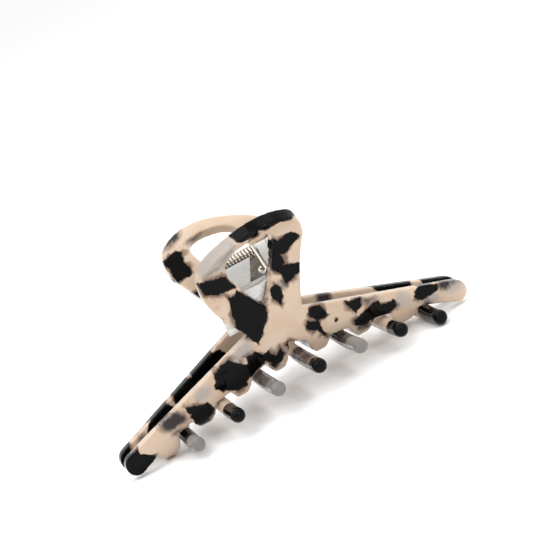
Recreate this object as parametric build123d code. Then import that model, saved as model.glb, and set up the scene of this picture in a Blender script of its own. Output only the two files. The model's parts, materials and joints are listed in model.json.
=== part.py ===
from build123d import *
import os
from math import asin, atan2, cos, degrees, hypot, radians, sin, sqrt

os.makedirs("parts", exist_ok=True)

# Claw clip: two bent acetate jaws on one sprung steel hinge.
# X runs along the hinge, the front jaw is towards -Y, Z is up.
# The clip stands closed on its outermost teeth, with z = 0 at their undersides.

# Acetate jaws
LENGTH = 110.0            # tip to tip
SHEET = 4.0               # acetate thickness
APEX_Z = 25.792          # height at which the two arm top edges would meet
ARM_SLOPE = 0.35          # fall of the arm's top edge for each mm of x
NECK_Y = 9.0              # middle of the sheet from the mid-plane, at the neck
TIP_Y = 4.0               # the same at the arm's tip
STRAIGHT_X = 6.0          # the arms start closing in beyond this x
TIP_WIDTH = 6.5           # the arm's rounded end

# Teeth
TEETH = 7
PITCH = 12.9
TOOTH_LEVEL = 16.3        # middle of the centre teeth below the apex
TOOTH_FALL = 7.1          # how much lower the teeth at ARCH_X are
TOOTH_REACH = 26.3        # centre teeth's end radius centre, across the mid-plane
TOOTH_SHORTER = 10.4      # how much shorter the teeth at ARCH_X are
ARCH_X = 42.0
ROOT_WIDTH = 8.2
FINGER_WIDTH = 4.3
BEND_SHARE = 0.6          # share of a tooth's drop taken by its bend
CURL = 8.0                # gentle upward curl of a tooth beyond its bend, in degrees
TAPER_END_Y = 6.0         # the flat root has narrowed to TAPER_END_WIDTH here
TAPER_END_WIDTH = 2.6
ROOT_OVERLAP = 1.0        # how far a tooth runs up inside the arm
GAP_ABOVE = 1.1           # room between a tooth and the gap that it passes through
ARM_HEIGHT = 9.0          # tallest the arm gets between its top edge and a gap

# Handle, measured along the bent sheet from BEND_Z up
BEND_Z = -1.0             # the sheet starts leaning out here, from the apex
LOWER_BEND = (17.0, 16.0)     # length and turn in degrees
UPPER_BEND = (9.0, 40.0)
LIP = 8.0                 # straight lip above the bends
LOWER_CUT_LEAN = 16       # degrees the sheet leans, on average, below and above the two bends' meeting
UPPER_CUT_LEAN = 44
FOOT = 7.0                # how far the handle's piece runs down inside the arms
HANDLE_OUTLINE = [        # (x, distance up the sheet), round the outside from the left foot
    (-8.5, -1.5), (-11.3, 2.7), (-14.4, 8.8), (-15.5, 14.5), (-13.6, 20.8), (-8.3, 25.5),
    (-1.0, 29.7), (6.0, 31.2), (12.6, 29.3), (17.3, 24.4), (17.8, 19.4), (14.7, 12.4),
    (11.4, 5.0), (8.8, -1.5),
]
LOOP_OUTLINE = [          # the same round the finger loop, from its lowest corner
    (0.3, 3.8), (3.6, 8.4), (7.2, 16.0), (9.1, 22.0), (7.8, 25.2), (3.6, 26.2),
    (-1.6, 25.0), (-5.9, 21.2), (-6.7, 17.8), (-5.0, 11.6), (-2.4, 6.2),
]

# Hinge
PIN_Z = 15.3              # above the apex
PIN_D = 1.6
PIN_CLEARANCE = 0.04
PIN_HEAD_D = 2.4
PIN_HEAD = 0.5
WIRE_D = 1.0
COIL_D = 2.9              # middle of the wire
COIL_TURNS = 10           # whole turns, plus the part turn that aims both legs down the plates
COIL_PITCH = 1.02
LEG = 7.5                 # straight length of the spring's legs
LEG_LEAN = 5.2            # degrees, from the plate outwards
EYE_D = 1.9               # middle of the wire in the leg's eye
EYE_TURN = 262            # degrees, until the wire's end meets the leg
PLATE = 0.7
KNUCKLE_D = 3.2
KNUCKLE = 3.1
KNUCKLE_GAP = 0.2
INNER_KNUCKLE_X = 6.2
COIL_ROOM = 2.35          # the plate stops this far from the pin's axis between its knuckles
FLANGE_UP = 3.8           # middle of the flange, up the sheet
FLANGE_HALF = 4.6
FLANGE_STANDOFF = 0.05
WINDOW = [(-0.6, 1.6), (3.4, 9.4), (6.1, 9.4), (6.1, 1.6)]    # (x, distance up the web)
RIVET_X = 6.6
RIVET_DOWN = 2.6          # below the flange's middle
RIVET_D = 1.5
RIVET_HOLE_D = 1.54
RIVET_HEAD_D = 2.6
RIVET_HEAD = 0.6
RIVET_DEPTH = 2.4         # into the acetate

STATIONS = (0.0, 14.0, 28.0, 42.0, 58.0)
PIN_HEIGHT = APEX_Z + PIN_Z


def arm_top(x):
    return APEX_Z - ARM_SLOPE * abs(x)


def sheet_y(x):
    """Distance of the middle of the upright sheet from the mid-plane."""
    share = max(abs(x) - STRAIGHT_X, 0) / (LENGTH / 2 - STRAIGHT_X)
    return NECK_Y + (TIP_Y - NECK_Y) * share


def tooth_level(x):
    return APEX_Z - TOOTH_LEVEL - TOOTH_FALL * (x / ARCH_X) ** 2


def rail(start, heading, pieces, offset=0.0):
    """Edges in (y, z) along a bent line, shifted sideways: pieces are (length, turn in degrees)."""
    direction = radians(heading)
    y = start[0] - offset * sin(direction)
    z = start[1] + offset * cos(direction)
    edges = []
    for length, turn in pieces:
        tangent = (cos(direction), sin(direction))
        if turn == 0:
            edge = Line((y, z), (y + length * tangent[0], z + length * tangent[1]))
        else:
            middle_radius = length / radians(abs(turn))
            outward = offset if turn < 0 else -offset
            edge = JernArc((y, z), tangent, middle_radius + outward, turn)
        y, z = (edge @ 1).X, (edge @ 1).Y
        direction += radians(turn)
        edges.append(edge)
    return edges


def strip(start, heading, pieces, thickness=SHEET):
    """Face in (y, z) of a bent strip about the line that rail follows."""
    left = rail(start, heading, pieces, thickness / 2)
    right = rail(start, heading, pieces, -thickness / 2)
    caps = [Line(left[0] @ 0, right[0] @ 0), Line(left[-1] @ 1, right[-1] @ 1)]
    return make_face(Curve() + left + right + caps)


def arm_section(x):
    """The arm cut across at x: upright, then the first of the bend that the teeth follow."""
    drop = arm_top(x) - tooth_level(x)
    height = min(drop - FINGER_WIDTH / 2 - GAP_ABOVE, ARM_HEIGHT)
    if abs(x) > ARCH_X:
        height = TIP_WIDTH * 1.08
    upright = drop * (1 - BEND_SHARE)
    radius = drop * BEND_SHARE
    bent = height - upright
    face = strip((-sheet_y(x), arm_top(x)), -90, [(upright, 0), (bent, degrees(bent / radius))])
    return Plane.YZ.offset(x) * face


def arm(side):
    solid = loft([arm_section(side * x) for x in STATIONS])
    fall = degrees(atan2(ARM_SLOPE, 1))
    radius = TIP_WIDTH / 2
    centre_x = LENGTH / 2 - radius
    centre_z = arm_top(centre_x) - radius / cos(radians(fall))
    top = (centre_x + radius * sin(radians(fall)), centre_z + radius * cos(radians(fall)))
    bottom = (centre_x - radius * sin(radians(fall)), centre_z - radius * cos(radians(fall)))
    end = (centre_x + radius * cos(radians(fall)), centre_z - radius * sin(radians(fall)))
    inner = [(bottom[0] - 2, 0), (-1, 0), (-1, APEX_Z + 2), (0, APEX_Z + 2)]
    outline = Curve() + [Polyline(bottom, *inner, top), ThreePointArc(top, end, bottom)]
    prism = extrude(Plane.XZ * make_face(outline), 30, both=True)
    if side < 0:
        prism = mirror(prism, Plane.YZ)
    return solid & prism


def tooth(x):
    """A tooth: a wide flat root at the arm that narrows round the bend into a round finger."""
    drop = arm_top(x) - tooth_level(x)
    bend = drop * BEND_SHARE
    root_y = -sheet_y(x)
    reach = TOOTH_REACH - TOOTH_SHORTER * (x / ARCH_X) ** 2
    turn = 90 - CURL / 2
    start = (root_y, arm_top(x) - drop * (1 - BEND_SHARE) + ROOT_OVERLAP)
    pieces = [(ROOT_OVERLAP, 0), (bend * radians(turn), turn), (reach - root_y - bend, CURL)]
    bar = extrude(Plane.YZ * strip(start, -90, pieces), ROOT_WIDTH, both=True)
    front = root_y - SHEET / 2
    root = ROOT_WIDTH / 2
    taper = Spline((root, front), (root - 0.9, front + 2.4), (TAPER_END_WIDTH / 2, TAPER_END_Y),
                   tangents=[(0, 1), (0, 1)])
    sides = [taper, mirror(taper, Plane.YZ)]
    ends = [Line(side @ 0, side @ 0 + Vector(0, -1)) for side in sides]
    across = [Line(sides[0] @ 1, sides[1] @ 1), Line(ends[0] @ 1, ends[1] @ 1)]
    planform = make_face(Curve() + sides + ends + across)
    flat_root = bar & extrude(Plane.XY * planform, APEX_Z + SHEET)
    line = Plane.YZ * rail(start, -90, pieces)[2]
    finger = sweep(Plane(origin=line @ 0, z_dir=line % 0) * Circle(FINGER_WIDTH / 2), path=line)
    finger += Pos(line @ 1) * Sphere(FINGER_WIDTH / 2)
    return Pos(x, 0, 0) * (flat_root + finger)


def on_sheet(distance):
    """(y, z) of the middle of the handle's sheet, measured up along it from BEND_Z."""
    y, z, lean = -NECK_Y, APEX_Z + BEND_Z, 0.0
    if distance <= 0:
        return y, z + distance
    left = distance
    for length, turn in (LOWER_BEND, UPPER_BEND):
        step = min(left, length)
        radius = length / radians(turn)
        end = lean + step / radius
        y -= radius * (cos(lean) - cos(end))
        z += radius * (sin(end) - sin(lean))
        lean = end
        left -= step
    return y - left * sin(lean), z + left * cos(lean)


def outline_face(points, closed, lean):
    """The outline drawn on a plane that faces the sheet where the sheet leans by that much."""
    tilt = radians(lean)
    plane = Plane(origin=(0, 0, 0), x_dir=(1, 0, 0), z_dir=(0, -cos(tilt), -sin(tilt)))
    flat = []
    for x, distance in points:
        y, z = on_sheet(distance)
        flat.append((x, -sin(tilt) * y + cos(tilt) * z))
    if closed:
        return plane * make_face(Spline(*flat, periodic=True))
    rim = Spline(*flat)
    bottom = flat[0][1] - FOOT
    foot = Polyline(flat[-1], (flat[-1][0], bottom), (flat[0][0], bottom), flat[0])
    return plane * make_face(Curve() + [rim, foot])


def handle():
    """The bent sheet, sawn square to its surface along the outline and round the loop."""
    split = on_sheet(LOWER_BEND[0])
    lower = strip((-NECK_Y, APEX_Z + BEND_Z - FOOT), 90, [(FOOT, 0), LOWER_BEND])
    upper = strip(split, 90 + LOWER_BEND[1], [UPPER_BEND, (LIP, 0)])
    body = Part()
    for half, lean in ((lower, LOWER_CUT_LEAN), (upper, UPPER_CUT_LEAN)):
        sheet = extrude(Plane.YZ * half, LENGTH / 4, both=True)
        outside = extrude(outline_face(HANDLE_OUTLINE, False, lean), LENGTH, both=True)
        loop = extrude(outline_face(LOOP_OUTLINE, True, lean), LENGTH, both=True)
        body += (sheet & outside) - loop
    return body


def flange_plane(distance_down=0.0, outward=0.0):
    """Centre and directions of the hinge plate's flange, in (y, z), on the jaw's inner face."""
    y, z = on_sheet(FLANGE_UP)
    lean = radians(LOWER_BEND[1]) * FLANGE_UP / LOWER_BEND[0]
    stand = SHEET / 2 + FLANGE_STANDOFF + PLATE / 2 - outward
    y += stand * cos(lean) + distance_down * sin(lean)
    z += stand * sin(lean) - distance_down * cos(lean)
    return y, z, lean


def rivet_axis(x):
    """Plane at the flange's inner surface, its normal pointing into the acetate."""
    y, z, lean = flange_plane(RIVET_DOWN, -PLATE / 2)
    return Plane(origin=(x, y, z), x_dir=(1, 0, 0), z_dir=(0, -cos(lean), -sin(lean)))


def bore(x, diameter, depth):
    return rivet_axis(x) * extrude(Circle(diameter / 2), depth)


def jaw():
    body = handle() + arm(1) + arm(-1)
    for number in range(TEETH):
        body += tooth((number - TEETH // 2 - 0.25) * PITCH)
    for x in (-RIVET_X, RIVET_X):
        body -= bore(x, RIVET_HOLE_D, PLATE + FLANGE_STANDOFF + RIVET_DEPTH + 0.1)
    return body


def web_line():
    """Flange's top corner, tangent point on the knuckle and the length between them."""
    y, z, lean = flange_plane(-FLANGE_HALF)
    across = -y
    rise = PIN_HEIGHT - z
    reach = hypot(across, rise)
    wrap = (PIN_D / 2 + PIN_CLEARANCE + KNUCKLE_D / 2) / 2
    heading = atan2(rise, across) + asin(wrap / reach)
    return (y, z), heading, sqrt(reach ** 2 - wrap ** 2)


def along_x(face, start, end):
    return Pos(start, 0, 0) * extrude(Plane.YZ * face, end - start)


def hinge_plate():
    """A bent steel plate with two rolled knuckles, one set in from the other's end."""
    outer = INNER_KNUCKLE_X + 2 * KNUCKLE + KNUCKLE_GAP
    inner_end = INNER_KNUCKLE_X + KNUCKLE
    corner, heading, length = web_line()
    y, z, lean = flange_plane(FLANGE_HALF)
    flange = strip((y, z), 90 + degrees(lean), [(2 * FLANGE_HALF, 0)], PLATE)
    web = strip(corner, degrees(heading), [(length, 0)], PLATE)
    bend = Pos(*corner) * Circle(PLATE / 2)
    plate = along_x(flange + web + bend, -outer, inner_end)
    axis = Pos(0, PIN_HEIGHT) * Circle(COIL_ROOM)
    plate -= along_x(axis, -outer + KNUCKLE, INNER_KNUCKLE_X)
    ring = Pos(0, PIN_HEIGHT) * (Circle(KNUCKLE_D / 2) - Circle(PIN_D / 2 + PIN_CLEARANCE))
    plate += along_x(ring, -outer, -outer + KNUCKLE) + along_x(ring, INNER_KNUCKLE_X, inner_end)
    plate -= along_x(Pos(0, PIN_HEIGHT) * Circle(PIN_D / 2 + PIN_CLEARANCE), -outer, inner_end)
    web_plane = Plane(origin=(0, *corner), x_dir=(1, 0, 0), z_dir=(0, -sin(heading), cos(heading)))
    plate -= web_plane * extrude(make_face(Polyline(*WINDOW, close=True)), 2 * PLATE, both=True)
    for x in (-RIVET_X, RIVET_X):
        plate -= bore(x, RIVET_HOLE_D, PLATE * 2)
    return plate


def rivets():
    """The two rivets that hold a plate to its jaw, as separate solids."""
    solids = []
    for x in (-RIVET_X, RIVET_X):
        head = rivet_axis(x) * extrude(Circle(RIVET_HEAD_D / 2), -RIVET_HEAD)
        head = fillet(head.edges().sort_by_distance((x, 0, PIN_HEIGHT))[0], RIVET_HEAD / 2)
        solids.append(head + bore(x, RIVET_D, PLATE + FLANGE_STANDOFF + RIVET_DEPTH))
    return solids


def hinge_pin():
    """The pin, its ends peened over outside the knuckles."""
    half = INNER_KNUCKLE_X + 2 * KNUCKLE + 2 * KNUCKLE_GAP
    pin = along_x(Pos(0, PIN_HEIGHT) * Circle(PIN_D / 2), -half, half)
    for start in (-half - PIN_HEAD, half):
        head = along_x(Pos(0, PIN_HEIGHT) * Circle(PIN_HEAD_D / 2), start, start + PIN_HEAD)
        pin += chamfer(head.edges(), PIN_HEAD / 4)
    return pin


def spring_leg(coil_end, direction, side):
    """A straight leg leaving the coil at a tangent, its tip curled sideways into an eye."""
    leg_plane = Plane(origin=coil_end, x_dir=direction, z_dir=direction.cross(Vector(-side, 0, 0)))
    line = Line((0, 0), (LEG, 0))
    eye = JernArc((LEG, 0), (1, 0), EYE_D / 2, EYE_TURN)
    path = leg_plane * (Curve() + [line, eye])
    joint = Pos(coil_end) * Sphere(WIRE_D / 2 + 0.01)
    return joint + sweep(Plane(origin=coil_end, z_dir=direction) * Circle(WIRE_D / 2), path=path)


def torsion_spring():
    """A close-wound coil on the pin; each end's leg comes out through a plate's window."""
    heading = web_line()[1]
    last = degrees(heading) - LEG_LEAN
    turns = COIL_TURNS + last / 180
    reach = turns * COIL_PITCH
    coil_plane = Plane.YZ * Pos(0, PIN_HEIGHT, -reach / 2) * Rot(0, 0, last + 90 - turns * 360)
    coil = coil_plane * Helix(COIL_PITCH, reach, COIL_D / 2)
    body = sweep(Plane(origin=coil @ 0, z_dir=coil % 0) * Circle(WIRE_D / 2), path=coil)
    down = radians(last + 180)
    body += spring_leg(coil @ 1, Vector(0, cos(down), sin(down)), 1)
    body += spring_leg(coil @ 0, Vector(0, -cos(down), sin(down)), -1)
    return body


def save(shape, node):
    export_step(shape, f"parts/{node}.step")


half_turn = Rot(0, 0, 180)
front_jaw = jaw()
save(front_jaw, "front_jaw")
save(half_turn * front_jaw, "back_jaw")
front_plate = hinge_plate()
save(front_plate, "front_hinge_plate")
save(half_turn * front_plate, "back_hinge_plate")
left_rivet, right_rivet = rivets()
save(left_rivet, "front_rivet_left")
save(right_rivet, "front_rivet_right")
save(half_turn * left_rivet, "back_rivet_right")
save(half_turn * right_rivet, "back_rivet_left")
save(hinge_pin(), "hinge_pin")
save(torsion_spring(), "torsion_spring")
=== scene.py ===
import json
import math

import bmesh
import bpy
import numpy as np
from mathutils import Matrix, Vector

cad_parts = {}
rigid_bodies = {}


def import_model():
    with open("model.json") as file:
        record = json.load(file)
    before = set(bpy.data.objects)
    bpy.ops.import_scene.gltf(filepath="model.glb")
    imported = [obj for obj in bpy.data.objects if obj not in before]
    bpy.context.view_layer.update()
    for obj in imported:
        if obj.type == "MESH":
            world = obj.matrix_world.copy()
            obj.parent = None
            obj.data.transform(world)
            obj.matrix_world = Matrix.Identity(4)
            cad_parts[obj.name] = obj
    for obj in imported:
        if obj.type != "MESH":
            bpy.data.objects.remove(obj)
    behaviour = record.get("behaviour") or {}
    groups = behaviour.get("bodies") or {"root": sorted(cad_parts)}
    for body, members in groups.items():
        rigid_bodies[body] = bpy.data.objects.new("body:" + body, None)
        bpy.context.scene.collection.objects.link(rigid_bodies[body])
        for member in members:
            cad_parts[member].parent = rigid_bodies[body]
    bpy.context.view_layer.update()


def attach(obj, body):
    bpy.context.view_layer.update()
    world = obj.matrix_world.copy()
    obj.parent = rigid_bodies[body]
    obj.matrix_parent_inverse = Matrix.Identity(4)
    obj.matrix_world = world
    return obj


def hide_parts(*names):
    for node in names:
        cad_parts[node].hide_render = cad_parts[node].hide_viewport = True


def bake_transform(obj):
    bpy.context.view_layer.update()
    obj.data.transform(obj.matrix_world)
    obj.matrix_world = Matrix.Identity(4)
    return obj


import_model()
MM = 0.001

APEX_Z = 25.792           # where the arms' top edges meet, mm
NODES = bpy.data.objects


# ---------------------------------------------------------------- node helpers
def new_material(name):
    material = bpy.data.materials.new(name)
    material.use_nodes = True
    tree = material.node_tree
    tree.nodes.clear()
    output = tree.nodes.new("ShaderNodeOutputMaterial")
    shader = tree.nodes.new("ShaderNodeBsdfPrincipled")
    tree.links.new(shader.outputs["BSDF"], output.inputs["Surface"])
    return material, tree, shader


def node(tree, kind, inputs=None, **settings):
    made = tree.nodes.new(kind)
    for key, value in settings.items():
        setattr(made, key, value)
    for key, value in (inputs or {}).items():
        connect(tree, value, made.inputs[key])
    return made


def connect(tree, value, socket):
    if isinstance(value, bpy.types.NodeSocket):
        tree.links.new(value, socket)
    else:
        socket.default_value = value


def maths(tree, operation, a, b=0.0, clamp=False):
    made = node(tree, "ShaderNodeMath", {0: a, 1: b}, operation=operation, use_clamp=clamp)
    return made.outputs[0]


def ramp(tree, value, low, high, to_low=0.0, to_high=1.0):
    made = node(tree, "ShaderNodeMapRange", {"Value": value, "From Min": low, "From Max": high,
                                             "To Min": to_low, "To Max": to_high},
                interpolation_type="SMOOTHSTEP")
    return made.outputs["Result"]


def mix(tree, factor, a, b):
    made = node(tree, "ShaderNodeMix", {"Factor": factor}, data_type="RGBA")
    connect(tree, a, made.inputs[6])
    connect(tree, b, made.inputs[7])
    return made.outputs[2]


def noise(tree, coordinates, scale, detail=3.0, roughness=0.55, distortion=0.0):
    made = node(tree, "ShaderNodeTexNoise", {"Vector": coordinates, "Scale": scale, "Detail": detail,
                                             "Roughness": roughness, "Distortion": distortion})
    return made.outputs["Fac"]


def attribute(tree, name):
    return node(tree, "ShaderNodeAttribute", attribute_name=name, attribute_type="GEOMETRY").outputs["Fac"]


# ---------------------------------------------------------------- acetate
TAN = (0.55, 0.415, 0.31, 1)
CREAM = (0.60, 0.48, 0.375, 1)
HONEY = (0.45, 0.29, 0.17, 1)
MILK = (0.46, 0.41, 0.37, 1)
GREY = (0.34, 0.33, 0.315, 1)
BROWN = (0.060, 0.024, 0.014, 1)
SMOKE = (0.040, 0.033, 0.034, 1)
BLACK = (0.0015, 0.0015, 0.0018, 1)


def acetate_material():
    """Polished tortoise acetate: tan, milky clouds, smoke, glassy grey and black chips with brown halos."""
    material, tree, shader = new_material("acetate_tortoise")
    place = node(tree, "ShaderNodeTexCoord").outputs["Object"]
    fine = noise(tree, place, 1500.0, 4.0, 0.6)
    broad = noise(tree, place, 260.0, 3.0, 0.5)
    chip = attribute(tree, "chip")
    smoke = attribute(tree, "smoke")
    milk = attribute(tree, "milk")
    glass = attribute(tree, "glass")
    ragged = maths(tree, "ADD", chip, maths(tree, "MULTIPLY", maths(tree, "SUBTRACT", fine, 0.5), 0.5))
    black = ramp(tree, ragged, 0.10, -0.14)
    halo_width = ramp(tree, broad, 0.42, 0.66, 0.25, 2.0)
    halo = ramp(tree, maths(tree, "DIVIDE", chip, halo_width), 1.0, 0.0)
    waver = maths(tree, "MULTIPLY", maths(tree, "SUBTRACT", broad, 0.5), 0.5)
    cloud = ramp(tree, maths(tree, "ADD", milk, waver), 0.15, 0.95)
    tan = mix(tree, ramp(tree, noise(tree, place, 120.0, 2.0), 0.3, 0.7), TAN, CREAM)
    colour = mix(tree, cloud, tan, MILK)
    flecks = ramp(tree, noise(tree, place, 700.0, 3.0, 0.7), 0.62, 0.80)
    colour = mix(tree, maths(tree, "MULTIPLY", flecks, 0.30), colour, HONEY)
    frost = ramp(tree, maths(tree, "ADD", glass, waver), 0.2, 0.8)
    colour = mix(tree, frost, colour, GREY)
    colour = mix(tree, maths(tree, "MULTIPLY", halo, 0.8), colour, BROWN)
    stretched = node(tree, "ShaderNodeMapping", {"Vector": place, "Scale": (1.0, 0.25, 1.0)})
    stretched = stretched.outputs["Vector"]
    streaks = noise(tree, stretched, 900.0, 4.0, 0.6, 0.6)
    haze = maths(tree, "ADD", smoke, maths(tree, "MULTIPLY", maths(tree, "SUBTRACT", streaks, 0.5), 0.6))
    haze = ramp(tree, haze, 0.12, 1.0)
    colour = mix(tree, haze, colour, SMOKE)
    colour = mix(tree, black, colour, BLACK)
    connect(tree, colour, shader.inputs["Base Color"])
    clear = maths(tree, "SUBTRACT", 1.0, black, clamp=True)
    lit = maths(tree, "ADD", maths(tree, "MULTIPLY", cloud, 0.14), maths(tree, "MULTIPLY", frost, 0.45))
    through = maths(tree, "MULTIPLY", clear, maths(tree, "ADD", lit, 0.08))
    connect(tree, through, shader.inputs["Transmission Weight"])
    connect(tree, maths(tree, "MULTIPLY", clear, 0.5), shader.inputs["Subsurface Weight"])
    shader.inputs["Subsurface Radius"].default_value = (1.0, 0.75, 0.55)
    shader.inputs["Subsurface Scale"].default_value = 0.0014
    shader.inputs["IOR"].default_value = 1.48
    shader.inputs["Specular IOR Level"].default_value = 0.08
    wear = noise(tree, place, 420.0, 2.0)
    connect(tree, ramp(tree, wear, 0.2, 0.8, 0.08, 0.17), shader.inputs["Roughness"])
    shader.inputs["Coat Weight"].default_value = 0.04
    shader.inputs["Coat Roughness"].default_value = 0.03
    ripple = noise(tree, place, 330.0, 2.0)
    bump = node(tree, "ShaderNodeBump", {"Height": ripple, "Strength": 0.12, "Distance": 0.0008})
    connect(tree, bump.outputs["Normal"], shader.inputs["Normal"])
    return material


# Outlines of the black chips, in mm: x along the jaw and z above the apex, seen from the jaw's outside.
FRONT_CHIPS = [
    [(-1.5, 24), (0.2, 23), (4.6, 22.4), (5.2, 24), (7.5, 22.8), (10, 23.3), (12.5, 22.6), (17.5, 22.3),
     (17.8, 23.2), (16, 27), (14, 32), (2, 32), (-2.5, 28)],
    [(8.2, 18.8), (10.4, 17.6), (13, 18.3), (14.6, 17.9), (16.6, 16), (15.4, 15), (12.4, 14), (10.4, 13.2),
     (8, 13.8), (7.4, 16.5)],
    [(7, 16), (9, 14), (9.8, 12.2), (9.6, 10.8), (8, 10), (5.6, 10.2), (5.6, 11.5)],
    [(7, 10.6), (10, 10.2), (11.4, 9.2), (13.4, 8.6), (13.2, 6.6), (10.2, 5.4), (7.9, 5.1), (7.4, 6.8),
     (6.8, 8.8), (5.6, 9.8)],
    [(3, 5.6), (4.4, 6.4), (5.4, 5), (5.2, 2.4), (4.6, 1), (3.4, 0.6), (2.6, 2.4), (1.9, 4)],
    [(-9, 10), (-8.4, 8.8), (-7.2, 8.9), (-6, 10.6), (-4.2, 7.6), (-0.2, 3.8), (-0.6, 1.4), (-2.1, -1.8),
     (-4.9, -4.4), (-6.8, -6.9), (-8.2, -4), (-9.6, -1.8), (-10.2, 1), (-10, 5), (-9.4, 8)],
    [(-15.2, 17), (-12, 16.6), (-8.2, 16), (-7, 15), (-5.8, 11), (-7.2, 11.4), (-9.2, 11), (-12.2, 11.8),
     (-14.6, 13.4)],
    [(-21.7, -8.2), (-15.8, -6.5), (-14.8, -8.8), (-13.2, -10), (-11.9, -9.8), (-11.8, -7.9), (-8.7, -8),
     (-7.4, -9.7), (-5.9, -9.9), (-4.9, -9.2), (-4.7, -11), (-3.7, -12.4), (-2, -10), (-1.4, -12.8),
     (-2.9, -14.2), (-5.8, -16.4), (-6.8, -15.4), (-6, -13.2), (-7, -11.9), (-8, -12.3), (-10, -13),
     (-13.9, -14.6), (-15, -16.2), (-17, -16.6), (-19, -14.8), (-21.8, -14.1), (-23.4, -12.4),
     (-22.4, -10.8)],
    [(0, -10.4), (0.6, -9.6), (1.9, -10.2), (1.9, -11.6), (0.4, -12)],
    [(-33, -12.8), (-31.6, -13.6), (-28.5, -14.5), (-26.7, -15), (-25.6, -17.8), (-27.6, -19.4),
     (-28.2, -21), (-31.6, -20.6), (-32.6, -16.4), (-32, -15.6), (-32.9, -14.2)],
    [(-56, -18), (-52, -18.2), (-49.6, -17.6), (-49.6, -19.6), (-48.4, -20), (-46.2, -21.6), (-47.2, -23),
     (-50, -26), (-56, -26)],
    [(10, -5), (10.8, -4.2), (13.7, -5), (14.4, -7.2), (14.6, -8.7), (12.8, -9), (10.7, -8.8), (9.6, -6.6)],
    [(8.4, -7.4), (10.8, -8.8), (10.9, -10.2), (11.8, -14.2), (9.6, -11.4), (6.8, -9.4), (7.6, -8.4)],
    [(15.5, -10.8), (16.2, -10.7), (16.3, -11.5), (15.6, -11.6)],
    [(20.2, -7.6), (25, -9.4), (24, -11.4), (22.2, -12), (20.9, -9.8)],
    [(20.2, -15.6), (20.6, -14.2), (23.4, -13.2), (26.4, -12.4), (29.4, -12.4), (29.6, -13.6),
     (33.6, -14.2), (33.6, -16.4), (30.4, -17.8), (28.4, -18.4), (26.4, -18), (25.2, -16.6), (23, -16.8)],
    [(40.4, -15.4), (42, -14.6), (45, -15.8), (47.4, -17), (46.6, -18.4), (43.8, -18.2), (41.7, -19),
     (39.9, -18.2), (39.6, -16.4)],
]
# Soft patches: x, z, half sizes along and across, tilt in degrees, strength.
FRONT_SMOKES = [
    (7, 6, 1.6, 1.6, 0, 0.8), (-37.8, -15.2, 4, 2.2, 0, 1.2), (-37.2, -18.4, 1.4, 0.5, 0, 1.1),
    (26.5, -10.8, 3.5, 1.2, -15, 0.8), (22.5, -17.2, 2.5, 2.0, 0, 0.8), (42.4, -20.6, 1.3, 0.9, 0, 1.1),
    (49.2, -17.8, 1.8, 1.4, 0, 1.2), (52.5, -18.2, 3.0, 1.4, 0, 0.8), (-14, -9, 1.6, 1.4, 0, 0.6),
    (-11.2, 18.3, 3.4, 0.5, 3, 0.7), (-5.2, 20.8, 3.6, 0.5, 42, 0.6), (-13.3, 8.5, 0.9, 0.4, 0, 0.6),
    (-13, 4.5, 0.9, 0.4, 0, 0.6),
]
FRONT_MILK = [
    (-8, 22.5, 6.5, 4.5, 25, 1.1), (-27, -12, 3.0, 2.0, 20, 1.0), (-12, -6.5, 4.0, 2.0, 20, 1.0),
    (44, -19.5, 3.0, 2.0, -15, 0.9), (36, -16, 3.0, 3.0, -10, 0.6), (52, -19.5, 4.0, 2.4, -15, 0.8),
]
FRONT_GLASS = [(17, 25.5, 1.8, 2.4, 0, 0.9)]
# The same for the back jaw, in its own turned frame.
BACK_CHIPS = [
    [(14, -8.5), (15.2, -6.2), (17, -6.8), (18.2, -4.5), (24.5, -7), (26, -9.5), (28.5, -9), (33, -10.5),
     (34, -16), (16, -14)],
    [(34.5, -14.5), (36.5, -11.5), (41, -13), (44.5, -17.5), (43.5, -19.5), (34, -17)],
    [(49.8, -16), (56, -16), (56, -24), (50.5, -23), (50.8, -19)],
    [(-30.5, -8), (-42.5, -12), (-42.5, -20), (-36, -18)],
    [(-46, -13), (-56, -16), (-56, -24), (-46, -22)],
    [(17.6, 22.4), (15.6, 22.8), (12.5, 22.9), (11, 22.2), (12, 21), (12.5, 19.7), (11.6, 17.4),
     (12.2, 15.8), (14.2, 15.6), (17, 15.6)],
    [(13.2, 11), (14.6, 11), (14.4, 9), (13, 9)],
    [(10.4, 2.8), (11.6, 2.6), (11.4, 1.4), (10.4, 1.4)],
    [(-3, 8), (-0.5, 5), (1.5, 3), (1, -1), (-2, -4), (-5, -1.5), (-6, 3), (-5.4, 6.4)],
    [(-13.8, 15.5), (-9.6, 14.5), (-8.4, 11.4), (-11.8, 10.2), (-14.2, 12)],
    [(-3.5, -6), (-7, -5), (-9, -8), (-8, -12), (-4.5, -12)],
]
BACK_SMOKES = [
    (11.5, 26.5, 4.0, 1.6, -25, 1.1), (-3.5, 28, 4.0, 1.2, 0, 1.1), (6.5, 23.5, 2.5, 0.8, 0, 1.0),
    (46.5, -18, 1.6, 1.6, 0, 0.7), (-18.4, -7.5, 2.2, 4.0, 0, 1.0),
]
BACK_MILK = [(26.5, -8.2, 1.6, 1.2, 0, 0.8)]
BACK_GLASS = [(26.5, -8.2, 1.4, 0.8, 0, 0.6)]
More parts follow.
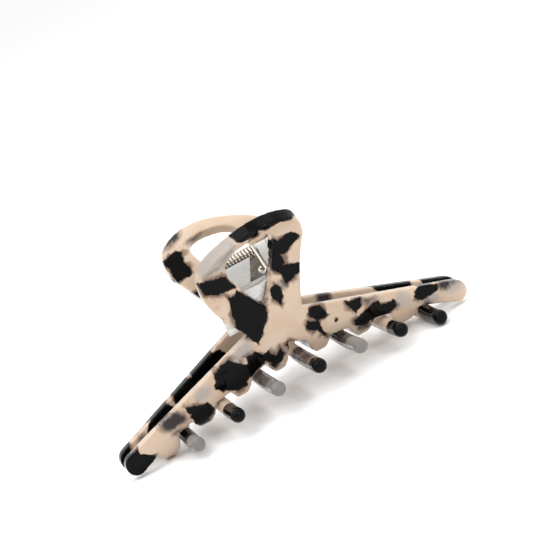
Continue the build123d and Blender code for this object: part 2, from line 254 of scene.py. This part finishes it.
# The fingers' bands, each jaw's own left to right: kind, start and end along the finger, strength.
FRONT_FINGERS = [
    [("chip", 2, 9, 1), ("glass", 12, 30, 1)],
    [("smoke", 4, 12, 0.8), ("chip", 15, 30, 1)],
    [("chip", 6, 12, 1), ("milk", 12, 30, 1)],
    [("smoke", 5, 20, 0.8), ("chip", 22, 30, 1)],
    [("chip", 3, 10, 1), ("glass", 14, 30, 1)],
    [("smoke", 8, 16, 0.7), ("glass", 20, 30, 0.8)],
    [("chip", 9, 24, 1)],
]
BACK_FINGERS = [
    [("chip", 1.5, 30, 1)],
    [("chip", 13.6, 17.0, 1), ("smoke", 16, 30, 1.3), ("chip", 19.6, 30, 1)],
    [("chip", 3, 12.2, 1), ("smoke", 12, 17, 0.8), ("glass", 13, 30, 1.1)],
    [("smoke", 3, 22, 0.8), ("chip", 22.4, 30, 1)],
    [("smoke", 3, 19.4, 0.85), ("glass", 18, 30, 1.1)],
    [("chip", 13.4, 30, 1)],
    [("chip", 3, 12.8, 1), ("glass", 12, 30, 1.1)],
]
PITCH = 12.9              # between the fingers, mm
FINGER_X = [(number - 3.25) * PITCH for number in range(7)]
PLATE_EDGE = 1.5          # the flat part of a jaw ends this far in, mm, and the fingers begin
FAR = 9.0                 # the chip distance where no chip is near, mm
PATCH_FEATHER = 2.4       # width of a soft patch's edge, mm
BAND_FEATHER = 2.0        # the same for a band on a finger
VOXEL = 0.00030           # metres
POLISH_ROUNDS = 10


def waves(points, scale, seed):
    """A smooth pseudo-random field from a few sine waves, about -1 to 1."""
    rng = np.random.default_rng(seed)
    total = np.zeros(len(points))
    for _ in range(7):
        direction = rng.normal(size=3)
        direction *= scale * rng.uniform(0.6, 1.6) / np.linalg.norm(direction)
        total += np.sin(points @ direction + rng.uniform(0, 2 * math.pi))
    return total / 3.5


def polygon_distance(x, z, outline):
    """Distance in mm outside a closed outline, negative inside it."""
    nearest = np.full(len(x), 1e9)
    inside = np.zeros(len(x), dtype=bool)
    for (ax, az), (bx, bz) in zip(outline, outline[1:] + outline[:1]):
        ex, ez = bx - ax, bz - az
        along = np.clip(((x - ax) * ex + (z - az) * ez) / (ex * ex + ez * ez), 0, 1)
        nearest = np.minimum(nearest, (x - ax - along * ex) ** 2 + (z - az - along * ez) ** 2)
        if az != bz:
            inside ^= ((az > z) != (bz > z)) & (x < ex * (z - az) / ez + ax)
    distance = np.sqrt(nearest)
    return np.where(inside, -distance, distance)


def oval_distance(x, z, patch):
    """Roughly the distance in mm outside a tilted oval."""
    centre_x, centre_z, along, across, tilt = patch[:5]
    turn = math.radians(tilt)
    u = (x - centre_x) * math.cos(turn) + (z - centre_z) * math.sin(turn)
    v = -(x - centre_x) * math.sin(turn) + (z - centre_z) * math.cos(turn)
    return (np.hypot(u / along, v / across) - 1) * min(along, across)


def paint(piece, chips, smokes, milks, glasses, fingers, side, seed):
    """Stores where the chips, smoke, milky clouds and glassy grey lie on a jaw's surface."""
    mesh = piece.data
    count = len(mesh.vertices)
    flat = np.empty(count * 3)
    mesh.vertices.foreach_get("co", flat)
    points = flat.reshape(-1, 3) / MM
    points[:, 2] -= APEX_Z
    own_x = points[:, 0] * side
    y = points[:, 1] * side
    x = own_x + 0.30 * waves(points, 1.6, seed) + 0.15 * waves(points, 4.0, seed + 1)
    z = points[:, 2] + 0.30 * waves(points, 1.6, seed + 2) + 0.15 * waves(points, 4.0, seed + 3)
    on_plate = y < PLATE_EDGE
    chip = np.full(count, FAR)
    soft = {"smoke": np.zeros(count), "milk": np.zeros(count), "glass": np.zeros(count)}
    for outline in chips:
        chip = np.where(on_plate, np.minimum(chip, polygon_distance(x, z, outline)), chip)
    for kind, patches in (("smoke", smokes), ("milk", milks), ("glass", glasses)):
        for patch in patches:
            weight = patch[5] * np.clip(0.5 - oval_distance(x, z, patch) / PATCH_FEATHER, 0, 1)
            soft[kind] = np.where(on_plate, np.maximum(soft[kind], weight), soft[kind])
    y = y + 0.5 * waves(points, 0.9, seed + 4)
    for middle, bands in zip(FINGER_X, fingers):
        near = (~on_plate) & (np.abs(own_x - middle) < PITCH / 2)
        for kind, start, end, strength in bands:
            far = np.maximum(start - y, y - end)
            if kind == "chip":
                chip = np.where(near, np.minimum(chip, far), chip)
            else:
                weight = strength * np.clip(0.5 - far / BAND_FEATHER, 0, 1)
                soft[kind] = np.where(near, np.maximum(soft[kind], weight), soft[kind])
    for name, values in [("chip", chip)] + list(soft.items()):
        layer = mesh.attributes.new(name, "FLOAT", "POINT")
        layer.data.foreach_set("value", values.astype(np.float32))


def tumbled(node_name, voxel, rounds):
    """A jaw as it leaves the tumbling barrel: every sawn edge rounded and polished."""
    mesh = NODES[node_name].data.copy()
    work = bmesh.new()
    work.from_mesh(mesh)
    bmesh.ops.remove_doubles(work, verts=work.verts, dist=1e-6)
    work.to_mesh(mesh)
    work.free()
    rough = bpy.data.objects.new(node_name + "_rough", mesh)
    bpy.context.collection.objects.link(rough)
    remesh = rough.modifiers.new("remesh", "REMESH")
    remesh.mode = "VOXEL"
    remesh.voxel_size = voxel
    remesh.adaptivity = 0
    smooth = rough.modifiers.new("smooth", "SMOOTH")
    smooth.factor = 0.5
    smooth.iterations = rounds
    graph = bpy.context.evaluated_depsgraph_get()
    final = bpy.data.meshes.new_from_object(rough.evaluated_get(graph))
    bpy.data.objects.remove(rough)
    final.materials.clear()
    final.name = node_name + "_acetate"
    final.shade_smooth()
    piece = bpy.data.objects.new(node_name + "_acetate", final)
    bpy.context.collection.objects.link(piece)
    return piece


acetate = acetate_material()
JAWS = (
    ("front_jaw", "front_half", FRONT_CHIPS, FRONT_SMOKES, FRONT_MILK, FRONT_GLASS, FRONT_FINGERS, 1, 11),
    ("back_jaw", "back_half", BACK_CHIPS, BACK_SMOKES, BACK_MILK, BACK_GLASS, BACK_FINGERS, -1, 41),
)
for name, body, chips, smokes, milks, glasses, fingers, side, seed in JAWS:
    jaw = tumbled(name, VOXEL, POLISH_ROUNDS)
    paint(jaw, chips, smokes, milks, glasses, fingers, side, seed)
    jaw.data.materials.append(acetate)
    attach(jaw, body)
    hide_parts(name)


# ---------------------------------------------------------------- metals
def metal_material(name, colour, low, high, scratch_scale, stretch, bump_depth):
    """Plated steel with directional polishing lines and faint handling marks."""
    material, tree, shader = new_material(name)
    place = node(tree, "ShaderNodeTexCoord").outputs["Object"]
    lines = node(tree, "ShaderNodeMapping", {"Vector": place, "Scale": stretch}).outputs["Vector"]
    scratch = noise(tree, lines, scratch_scale, 5.0, 0.65)
    marks = noise(tree, place, 800.0, 3.0, 0.6)
    dulled = [channel * 0.86 for channel in colour[:3]] + [1]
    worn = [channel * 0.62 for channel in colour[:3]] + [1]
    shade = mix(tree, ramp(tree, scratch, 0.35, 0.7), colour, dulled)
    shade = mix(tree, ramp(tree, marks, 0.6, 0.8, 0.0, 0.35), shade, worn)
    connect(tree, shade, shader.inputs["Base Color"])
    shader.inputs["Metallic"].default_value = 1.0
    connect(tree, ramp(tree, scratch, 0.25, 0.75, low, high), shader.inputs["Roughness"])
    bump = node(tree, "ShaderNodeBump", {"Height": scratch, "Strength": 0.35, "Distance": bump_depth})
    connect(tree, bump.outputs["Normal"], shader.inputs["Normal"])
    return material


plate_steel = metal_material(
    "satin_nickel", (0.54, 0.53, 0.51, 1), 0.22, 0.40, 1500.0, (0.15, 1.0, 1.0), 0.00004)
pin_steel = metal_material(
    "drawn_steel", (0.42, 0.42, 0.42, 1), 0.18, 0.34, 2600.0, (0.1, 1.0, 1.0), 0.00003)
spring_steel = metal_material(
    "spring_wire", (0.50, 0.46, 0.40, 1), 0.10, 0.22, 2600.0, (1.0, 1.0, 1.0), 0.00002)
rivet_steel = metal_material(
    "rivet_nickel", (0.52, 0.51, 0.50, 1), 0.12, 0.28, 3000.0, (1.0, 1.0, 1.0), 0.00002)
FINISHES = {
    "front_hinge_plate": plate_steel, "back_hinge_plate": plate_steel, "hinge_pin": pin_steel,
    "torsion_spring": spring_steel, "front_rivet_left": rivet_steel, "front_rivet_right": rivet_steel,
    "back_rivet_left": rivet_steel, "back_rivet_right": rivet_steel,
}
for name, material in FINISHES.items():
    for slot in NODES[name].material_slots:
        slot.material = material

# A copy of the coil spring in the spring wire finish stands in for the CAD spring, which is hidden; the
# copy is not attached to either half.
wire_mesh = NODES["torsion_spring"].data.copy()
wire_mesh.materials.clear()
wire_mesh.materials.append(spring_steel)
wire = bpy.data.objects.new("torsion_spring_wire", wire_mesh)
bpy.context.collection.objects.link(wire)
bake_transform(wire)
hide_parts("torsion_spring")


# ---------------------------------------------------------------- floor, light, camera
floor_mesh = bpy.data.meshes.new("floor")
FLOOR = 6.0               # half its side, metres
corners = [(-FLOOR, -FLOOR, 0), (FLOOR, -FLOOR, 0), (FLOOR, FLOOR, 0), (-FLOOR, FLOOR, 0)]
floor_mesh.from_pydata(corners, [], [(0, 1, 2, 3)])
floor = bpy.data.objects.new("floor", floor_mesh)
bpy.context.collection.objects.link(floor)
floor_paint, tree, shader = new_material("floor_paint")
grain = noise(tree, node(tree, "ShaderNodeTexCoord").outputs["Object"], 40.0, 2.0)
connect(tree, mix(tree, grain, (0.93, 0.93, 0.93, 1), (0.95, 0.95, 0.95, 1)), shader.inputs["Base Color"])
shader.inputs["Roughness"].default_value = 0.9
shader.inputs["Specular IOR Level"].default_value = 0.1
floor_mesh.materials.append(floor_paint)

world = bpy.data.worlds.new("studio")
bpy.context.scene.world = world
world.use_nodes = True
surround = world.node_tree.nodes["Background"]
surround.inputs["Color"].default_value = (1, 1, 1, 1)
surround.inputs["Strength"].default_value = 1.0


LIT_POINT = Vector((0, 0, 0.03))


def softbox(name, place, width, height, power):
    """An area lamp aimed at the clip."""
    data = bpy.data.lights.new(name, "AREA")
    data.shape = "RECTANGLE"
    data.size = width
    data.size_y = height
    data.energy = power
    lamp = bpy.data.objects.new(name, data)
    bpy.context.collection.objects.link(lamp)
    lamp.location = place
    lamp.rotation_euler = (LIT_POINT - Vector(place)).to_track_quat("-Z", "Y").to_euler()


softbox("key", (-0.45, -0.25, 0.80), 0.9, 0.7, 3.5)
softbox("top", (0.10, 0.30, 0.90), 1.4, 0.9, 4.0)
softbox("glint", (0.35, -0.75, 0.60), 0.12, 0.12, 2.4)

bpy.context.scene.view_settings.view_transform = "Standard"

# The camera stands off to the clip's left, a little above it, and is rolled so that the clip
# lies slanting across the view.
AZIMUTH = math.radians(-9.2)
ELEVATION = math.radians(12.7)
ROLL = math.radians(26.2)
DISTANCE = 0.640          # from the arms' apex, metres
back = Vector((math.sin(AZIMUTH) * math.cos(ELEVATION), -math.cos(AZIMUTH) * math.cos(ELEVATION),
               math.sin(ELEVATION)))
level = Vector((math.cos(AZIMUTH), math.sin(AZIMUTH), 0))
upright = back.cross(level)
right = math.cos(ROLL) * level - math.sin(ROLL) * upright
up = math.sin(ROLL) * level + math.cos(ROLL) * upright
camera_data = bpy.data.cameras.new("camera")
camera_data.sensor_width = 36
camera_data.lens = 148.5
camera_data.shift_x = 0.0256
camera_data.shift_y = 0.0584
camera_data.clip_start = 0.01
camera_data.clip_end = 100
camera = bpy.data.objects.new("camera", camera_data)
bpy.context.collection.objects.link(camera)
position = Vector((0, 0, APEX_Z * MM)) + back * DISTANCE
camera.matrix_world = Matrix((
    (right.x, up.x, back.x, position.x),
    (right.y, up.y, back.y, position.y),
    (right.z, up.z, back.z, position.z),
    (0, 0, 0, 1),
))
bpy.context.scene.camera = camera
